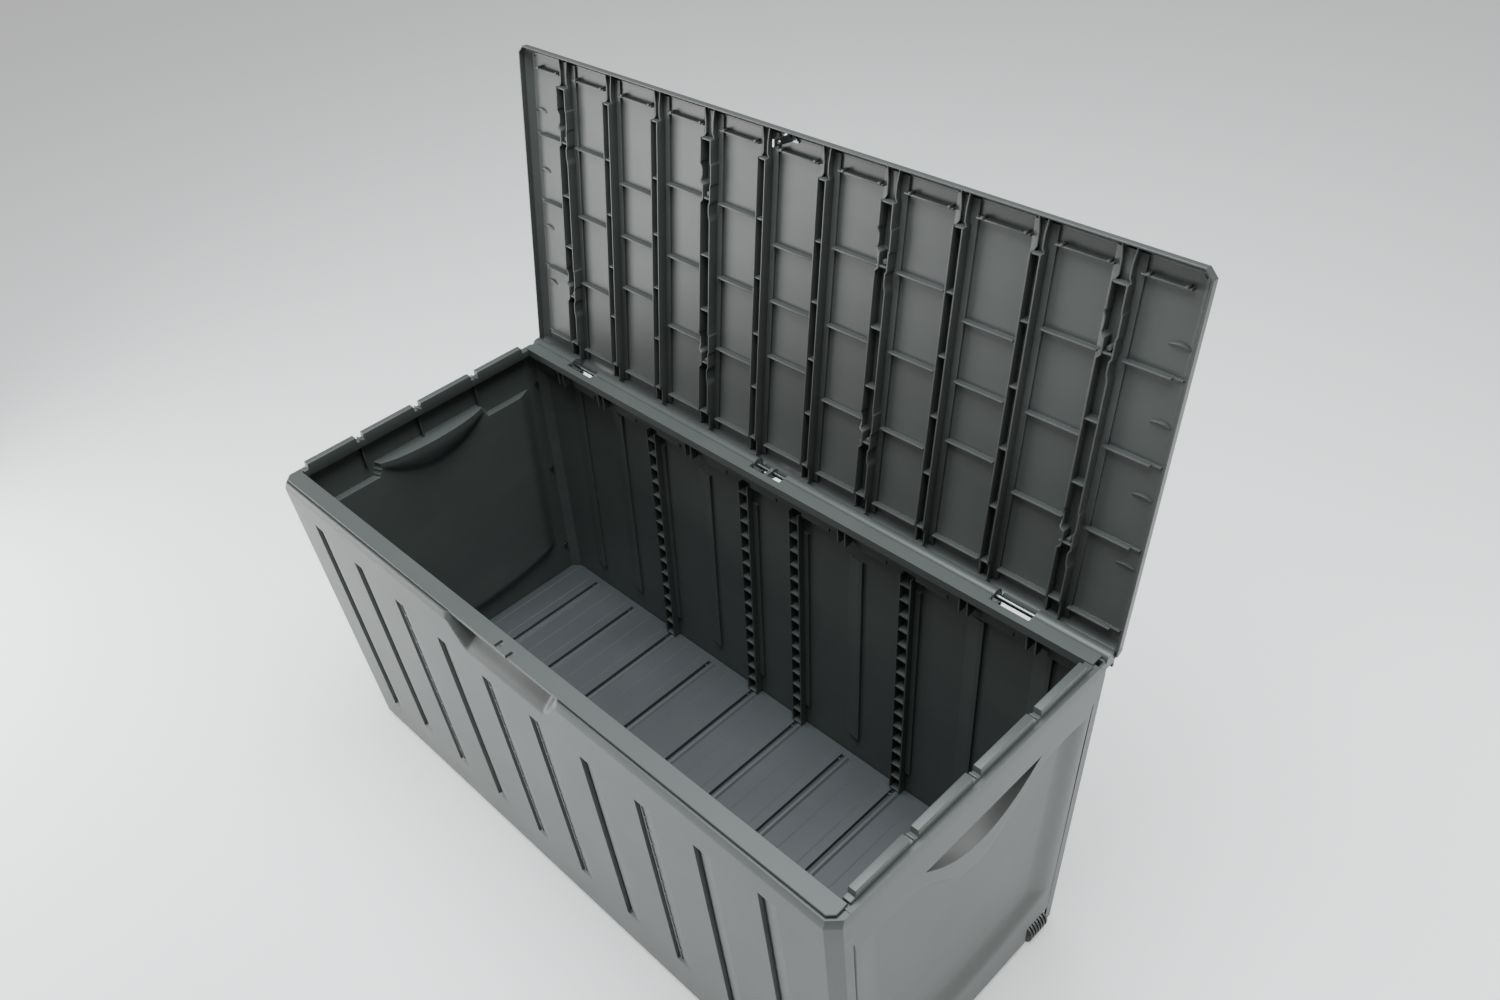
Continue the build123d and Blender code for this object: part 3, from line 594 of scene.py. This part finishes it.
def end_wall(side):
    """Outline of an end wall at every column: up the outside with the sunk field and the
    handle, over the shoulder, and back down the inside.  The columns follow the corners, the
    sunk field's outer and inner edges, and the space between."""
    nominal = end_rows(np.zeros(1))[0][:, 0]
    outer = 200.0 + 28.0 * (nominal - 98) / 389
    inner = 157.0 + 36.0 * (nominal - 98) / 389
    joint = joint_y(nominal)
    knots = np.stack([-joint, -outer, -inner, 0 * inner, inner, outer, joint])
    y = np.array([np.interp(END_STATIONS, np.arange(7.0), line) for line in knots.T]).T
    into = np.interp(END_STATIONS, [0, 1, 2, 4, 5, 6], [0, 0, 1, 1, 0, 0])
    columns = []
    for i in range(len(y)):
        heights, sunk, cup = end_rows(y[i])
        z = np.diagonal(heights)
        level = np.minimum(sunk, into[i])
        field = FIELD_DEEP * ease(level * 0.9 + 0.05 * (level > 0))
        round_end = np.sqrt(np.clip(1 - ((y[i] - HANDLE_Y) / HANDLE_HALF) ** 2, 0, 1))
        hollow = HANDLE_DEEP * round_end * (1 - (1 - cup) ** 2.0)
        outside = np.column_stack([half_length(z) - np.maximum(field, hollow), y[i], z])
        e = y[i][-1]
        top = [(X_TOP - 1, e, SHOULDER_Z), (586.0, e, SHOULDER_Z), (586.0, e, SHOULDER_Z - 3),
               (X_TOP - 4, e, SHOULDER_Z - 3)]
        down = INSIDE_ROWS[::-1]
        v = np.interp(down, nominal, y[i])
        back = np.column_stack([half_length(down) - end_inside(v, down), v, down])
        columns.append(np.vstack([outside, top, back]))
    sections = np.array(columns)
    sections[..., 0] *= side
    return swept(sections)


def rail(side):
    """The rim of an end wall: a long bar whose top steps down at each notch and at its ends."""
    tab, low, gap = 583.0, 572.5, 7.0
    stops = [-229.0, -221.0, -220.0]
    tops = [573.0, 573.0, tab]
    for y in NOTCHES:
        stops += [y - gap - 0.5, y - gap, y - 1.5, y - 1.2]
        stops += [y + 1.2, y + 1.5, y + gap, y + gap + 0.5]
        tops += [tab, low + 1, low + 1, low + 4, low + 4, low + 1, low, tab]
    stops += [215.0, 216.0, 229.0]
    tops += [tab, 573.0, 573.0]
    y, top = np.array(stops), np.array(tops)
    outline = [(590, None), (590, -0.9), (589.1, 0), (578.9, 0), (578, -0.9), (578, None)]
    sections = np.array([
        [(side * x, yi, 560.0 if drop is None else zi + drop) for x, drop in outline]
        for yi, zi in zip(y, top)
    ])
    return swept(sections)


WHEEL_CUT_HALF = 27.0
WHEEL_CUTS = [
    blocks([(560, 620, y - WHEEL_CUT_HALF, y + WHEEL_CUT_HALF, 0, FLOOR_Z - 1.5)
            for y in (-WHEEL_Y, WHEEL_Y)])
]
for side, name in ((-1, "left"), (1, "right")):
    low_x, high_x = sorted((side * 585, side * 596))
    ribs = [(low_x, high_x, y - 1.2, y + 1.2, 509, 566) for y in NOTCHES]
    piece(
        f"{name}_side_moulding",
        [end_wall(side)],
        [rail(side), blocks(ribs)],
        "box",
        WALL_RESIN,
        [f"{name}_side_panel"],
        holes=WHEEL_CUTS if side > 0 else (),
    )


# ---- floor --------------------------------------------------------------------------------
FLOOR_X, FLOOR_Y, PLANK_END = X_BASE - WALL - 0.5, Y_BASE - WALL + 0.5, 224.0


def floor_planks():
    """Outline of the planked plate at five stations along y: at each seam a dark groove and a
    rounded lip beside it, two faint lines along each plank, and level ends."""
    seam = [(-6.4, 0), (-6.0, -8.0), (1.4, -8.0), (2.0, 2.2), (4.4, 3.6), (9.0, 3.0), (12.5, 0)]
    line = [(-1.1, 0), (-0.5, -0.7), (0.5, -0.7), (1.1, 0)]
    marks = [(s + dx, dz) for s in SEAMS for dx, dz in seam]
    marks += [(s + f * PITCH + dx, dz) for s in [SEAMS[0] - PITCH, *SEAMS] for f in (0.4, 0.78)
              for dx, dz in line]
    marks = sorted(m for m in marks if abs(m[0]) < FLOOR_X - 12)
    x = np.array([-FLOOR_X, *(m[0] for m in marks), FLOOR_X])
    dz = np.array([0.0, *(m[1] for m in marks), 0.0])
    rows = []
    for y, share in ((-FLOOR_Y, 0), (-PLANK_END - 2, 0), (-PLANK_END, 1), (PLANK_END, 1),
                     (PLANK_END + 2, 0), (FLOOR_Y, 0)):
        trim, low = 16.0 if abs(y) == FLOOR_Y else 0.0, FLOOR_Z - WALL - 7.0 * share
        top = np.column_stack([np.clip(x, -FLOOR_X + trim, FLOOR_X - trim), np.full(len(x), y),
                               FLOOR_Z + share * dz])
        rows.append(np.vstack([top, [(FLOOR_X - trim, y, low), (-FLOOR_X + trim, y, low)]]))
    return swept(np.array(rows))


def floor_underside():
    """Ribs under the floor plate and the hollow foot in the middle of its length."""
    low = FLOOR_Z - WALL
    bars = [(x - 1.25, x + 1.25, -218, 218, BASE_Z + 4, low + 0.5) for x in SEAMS]
    bars += [(-530, 530, y - 1.25, y + 1.25, BASE_Z + 4, low + 0.5) for y in (-217, 0, 217)]
    bars += [(a, b, c, d, 0, low + 0.5) for a, b, c, d in
             ((-30, -27, -30, 30), (27, 30, -30, 30), (-30, 30, -30, -27), (-30, 30, 27, 30))]
    return blocks(bars + [(-30, 30, -30, 30, 0, 3)])


piece(
    "floor_moulding",
    [floor_planks()],
    [floor_underside()],
    "box",
    FLOOR_RESIN,
    ["floor_panel"],
)


# ---- lid ----------------------------------------------------------------------------------
WIDE = (0, 3, 6, 9)
CELL = 88.8
STEP_Y, BACK_STEP_Y = -215.0, 229.0
SOCKETS = (-134.0, 135.0)
TAB_X = 576.0  # beyond this the ribs are low, to clear the tabs of the end walls


def lid_sheets():
    """The lid's thin outer shell in its closed place: grooved top, skirt and rolled back."""
    beside_seams = [SEAMS + d for d in (-6, -4, 4, 6)]
    across = np.unique(np.concatenate([[-587, -578, 578, 587], *beside_seams]))
    front = np.where(np.abs(across) > 580, -240.0, -249.5)
    drop = np.where(np.min(np.abs(across[:, None] - SEAMS), axis=1) < 5, 2.5, 0.0)
    flat = np.full(len(across), LID_TOP)
    top = []
    for y, z in ((front, flat), (front + 6, flat), (front + 9, flat - drop),
                 (np.full_like(front, 244), flat - drop), (np.full_like(front, 248), flat),
                 (np.full_like(front, 253), flat - 0.1), (np.full_like(front, 253), flat - WALL),
                 (front, flat - WALL)):
        top.append(np.column_stack([across, y, z]))
    outline = [(-LID_X, 252), (-LID_X, -251), (-589, -LID_FRONT), (589, -LID_FRONT), (LID_X, -251),
               (LID_X, 252)]
    edge = [(0, SKIRT_Z + 0.5), (0.5, SKIRT_Z), (SKIRT - 0.5, SKIRT_Z), (SKIRT, SKIRT_Z + 0.5),
            (SKIRT, LID_TOP - BEVEL - 1), (BEVEL, UNDER_Z - 0.6), (BEVEL + 3, UNDER_Z),
            (BEVEL + 3, LID_TOP - 0.1), (BEVEL, LID_TOP - 0.2), (BEVEL - 1.5, LID_TOP - 1),
            (0.6, LID_TOP - BEVEL + 0.8), (0, LID_TOP - BEVEL - 0.8)]
    sheets = [swept(np.stack(top, axis=1)), along(outline, edge)]
    small = arc(LID_BACK, BACK_Z, BACK_R - BEVEL, 0, 90)
    cheek = np.vstack([[(251, LID_TOP - BEVEL - 1), (251, SKIRT_Z), (HINGE_Y - 3, SKIRT_Z - 1)],
                       small])
    whole = np.vstack([arc(LID_BACK, BACK_Z, BACK_R, 0, 90),
                       arc(LID_BACK, BACK_Z, BACK_R_IN, 90, 0)])
    closed_in = np.vstack([small, arc(LID_BACK, BACK_Z, BACK_R - BEVEL - SKIRT, 90, 0)])
    for side in (-1, 1):
        sheets.append(extruded(cheek, side * (LID_X - SKIRT), side * LID_X))
        ends = [(side * (LID_X - BEVEL), whole), (side * (LID_X - 0.4), closed_in)]
        sheets.append(swept(np.array([np.column_stack([np.full(len(o), x), o]) for x, o in ends])))
    gap = np.vstack([arc(LID_BACK, BACK_Z, BACK_R, 24, 90),
                     arc(LID_BACK, BACK_Z, BACK_R_IN, 90, 36)])
    roll = arc(HINGE_Y, HINGE_Z, ROLL_R, 0, 345, 24)
    edges = [-LID_X + 1] + [x + s * HINGE_SLOT / 2 for x in HINGE_XS for s in (-1, 1)] + [LID_X - 1]
    for x0, x1 in zip(edges[0::2], edges[1::2]):
        inset = LID_X - BEVEL
        sheets += [extruded(whole, max(x0, -inset), min(x1, inset)),
                   extruded(roll, max(x0, -596), min(x1, 596))]
    for x in HINGE_XS:
        sheets.append(extruded(gap, x - HINGE_SLOT / 2, x + HINGE_SLOT / 2))
    return sheets


def socket_jog(t, hand):
    """How far a wide channel's wall leaves its line, t mm in front of a socket: a shallow
    tooth outward from 16 to 46, then on the left side a pinch inward round the socket, and
    on the right side a lasting step inward behind it."""
    tooth = 1.4 * ((t > 16.0) & (t < 46.0))
    pinch = 5.0 * ease((15.0 - t) / 3.0) * ease((t + 15.0) / 7.0)
    behind = 2.5 * ease((-9.0 - t) / 6.0) * ease((t + 40.0) / 12.0)
    return tooth - (pinch if hand < 0 else behind)


def channel_web(seam, half, hand):
    """One wall of a channel: straight at its own distance from the seam, necked in and made
    shallower past the step, and on wide channels jogged at the two sockets."""
    sockets = SOCKETS if half > 9 else ()
    fine = [s + t for s in sockets for t in np.arange(-47.0, 42.0, 1.5)]
    stops = [257, BACK_STEP_Y + 0.2, BACK_STEP_Y, STEP_Y, STEP_Y - 0.2, -221, -238, -260]
    y = np.unique(np.concatenate([stops, np.arange(-200.0, 225.0, 12.0), fine]))[::-1]
    reach = half - 3 * ease((STEP_Y - y) / 5.0) + 3 * ease((-234.0 - y) / 22.0)
    low = np.where(y < STEP_Y, 576.0, np.where(y > BACK_STEP_Y, 573.5, SKIRT_Z + 0.2))
    for s in sockets:
        reach = reach + socket_jog(s - y, hand)
        low = low + 5.0 * np.exp(-(((y - s + 30.0) / 13.0) ** 4)) * (hand < 0)
    high = np.minimum(UNDER_Z - 1.5, LID_TOP - BEVEL - 3.5 + (y + LID_FRONT))
    return strip(np.column_stack([seam + hand * reach, y]), np.minimum(low, high - 1), high, 2.2)


def lid_ribs():
    """Everything that stands under the lid: ridges, channel walls, rungs, knuckles, cross
    ribs, the locating ledge with its pegs, and the small curved stiffeners at both ends."""
    bars, parts = [], []
    for i, seam in enumerate(SEAMS):
        half = 10.0 if i in WIDE else 7.0
        wide = half + 10.0
        bars.append((seam - wide, seam + wide, -250, 256, UNDER_Z - 3.2, UNDER_Z + 0.5))
        parts += [channel_web(seam, half, hand) for hand in (-1, 1)]
        for y in [HINGE_Y - 35.8 - CELL * k for k in range(0, 5)] + [STEP_Y + 1.2]:
            bars.append((seam - half, seam + half, y - 1.1, y + 1.1, SKIRT_Z + 1.5, UNDER_Z - 2))
        bars.append((seam - half + 1.5, seam + half - 1.5, -252, STEP_Y, UNDER_Z - 7, UNDER_Z))
        bars.append((seam - half - 0.8, seam + half + 0.8, 254, 268, HINGE_Z - 4, UNDER_Z - 10))
        if i in WIDE:
            parts += [peg(seam + 1.5, y, SKIRT_Z + 5, UNDER_Z, 3.6) for y in SOCKETS]
    edges = np.concatenate([[BEVEL - LID_X], SEAMS, [LID_X - BEVEL]])
    for i, (x0, x1) in enumerate(zip(edges, edges[1:])):
        a = x0 if i == 0 else x0 + 17
        b = x1 if i == 10 else x1 - 17
        for d in (359.0, 273.0, 184.0, 29.0) if i in (2, 5, 8) else (388.0, 274.0, 155.0, 29.0):
            y = HINGE_Y + 3 - d
            bars.append((max(a - 0.5, -TAB_X), min(b + 0.5, TAB_X), y - 1.2, y + 1.2,
                         UNDER_Z - 9.5, UNDER_Z + 0.5))
            if i in (0, 10):
                x = min(a, -TAB_X) if i == 0 else TAB_X - 1
                x_end = 1 - TAB_X if i == 0 else b
                bars.append((x, x_end, y - 1.2, y + 1.2, UNDER_Z - 4, UNDER_Z + 0.5))
        a, b = max(a, -575), min(b, 575)
        bars.append((a, b, -229.8, -227.4, UNDER_Z - 8.5, UNDER_Z + 0.5))
        parts += [peg(x, -230.5, UNDER_Z - 10, UNDER_Z, 2.3) for x in (a + 9, b - 6)]
    for side in (-1, 1):
        for d in (424.0, 325.0, 225.0, 124.0):
            t = np.linspace(-1, 1, 11)
            path = np.column_stack([side * (573 + 13.5 * t), HINGE_Y + 3 - d - 4.5 * (1 - t * t)])
            parts.append(strip(path, UNDER_Z - 4.4 * (1 - 0.8 * t * t), UNDER_Z + 0.5, 2.4))
    return [blocks(bars)] + parts


piece(
    "lid_moulding",
    lid_sheets(),
    lid_ribs(),
    "lid",
    LID_RESIN,
    ["lid"],
    soft=0.4,
    place=opened,
)


# ---- stage, light and camera --------------------------------------------------------------
def stage():
    """A wide pale ground just under the box."""
    ground = bpy.data.meshes.new("ground")
    r = 9.0
    corners = [(x, y, -0.0006) for x, y in ((-r, -r), (r, -r), (r, r), (-r, r))]
    ground.from_pydata(corners, [], [(0, 1, 2, 3)])
    material = bpy.data.materials.new("white ground")
    material.use_nodes = True
    shader = material.node_tree.nodes["Principled BSDF"]
    shader.inputs["Base Color"].default_value = linear("fbfbfb")
    shader.inputs["Roughness"].default_value = 0.9
    shader.inputs["Emission Color"].default_value = (1, 1, 1, 1)
    shader.inputs["Emission Strength"].default_value = 0.3
    ground.materials.append(material)
    made = bpy.data.objects.new("ground", ground)
    bpy.context.scene.collection.objects.link(made)


def soft_light(name, place, target, size, watts, tint="ffffff"):
    """A square soft box that looks at a point."""
    light = bpy.data.lights.new(name, "AREA")
    light.shape, light.size, light.energy = "SQUARE", size, watts
    light.color = linear(tint)[:3]
    made = bpy.data.objects.new(name, light)
    bpy.context.scene.collection.objects.link(made)
    made.location = place
    made.rotation_euler = (Vector(target) - Vector(place)).to_track_quat("-Z", "Y").to_euler()


stage()
soft_light("key", (-1.6, -1.15, 0.7), (-0.4, -0.2, 0.3), 1.1, 34.0)
soft_light("top", (0.1, -0.05, 3.0), (0, 0, 0), 2.0, 158.0, "f2fbff")
soft_light("side", (2.1, 1.2, 0.8), (0.5, 0, 0.3), 1.0, 24.0)
world = bpy.data.worlds.new("pale room")
world.use_nodes = True
world.node_tree.nodes["Background"].inputs["Color"].default_value = (1, 1, 1, 1)
world.node_tree.nodes["Background"].inputs["Strength"].default_value = 0.22
bpy.context.scene.world = world

lens = bpy.data.cameras.new("camera")
lens.sensor_width, lens.lens = 36.0, 30.0384
lens.shift_x, lens.shift_y = 0.01913, 0.01143
camera = bpy.data.objects.new("camera", lens)
bpy.context.scene.collection.objects.link(camera)
camera.location = (1.10556, -0.78687, 1.75879)
camera.rotation_euler = Euler((0.870973, 0.083628, 0.798082), "XYZ")
bpy.context.scene.camera = camera
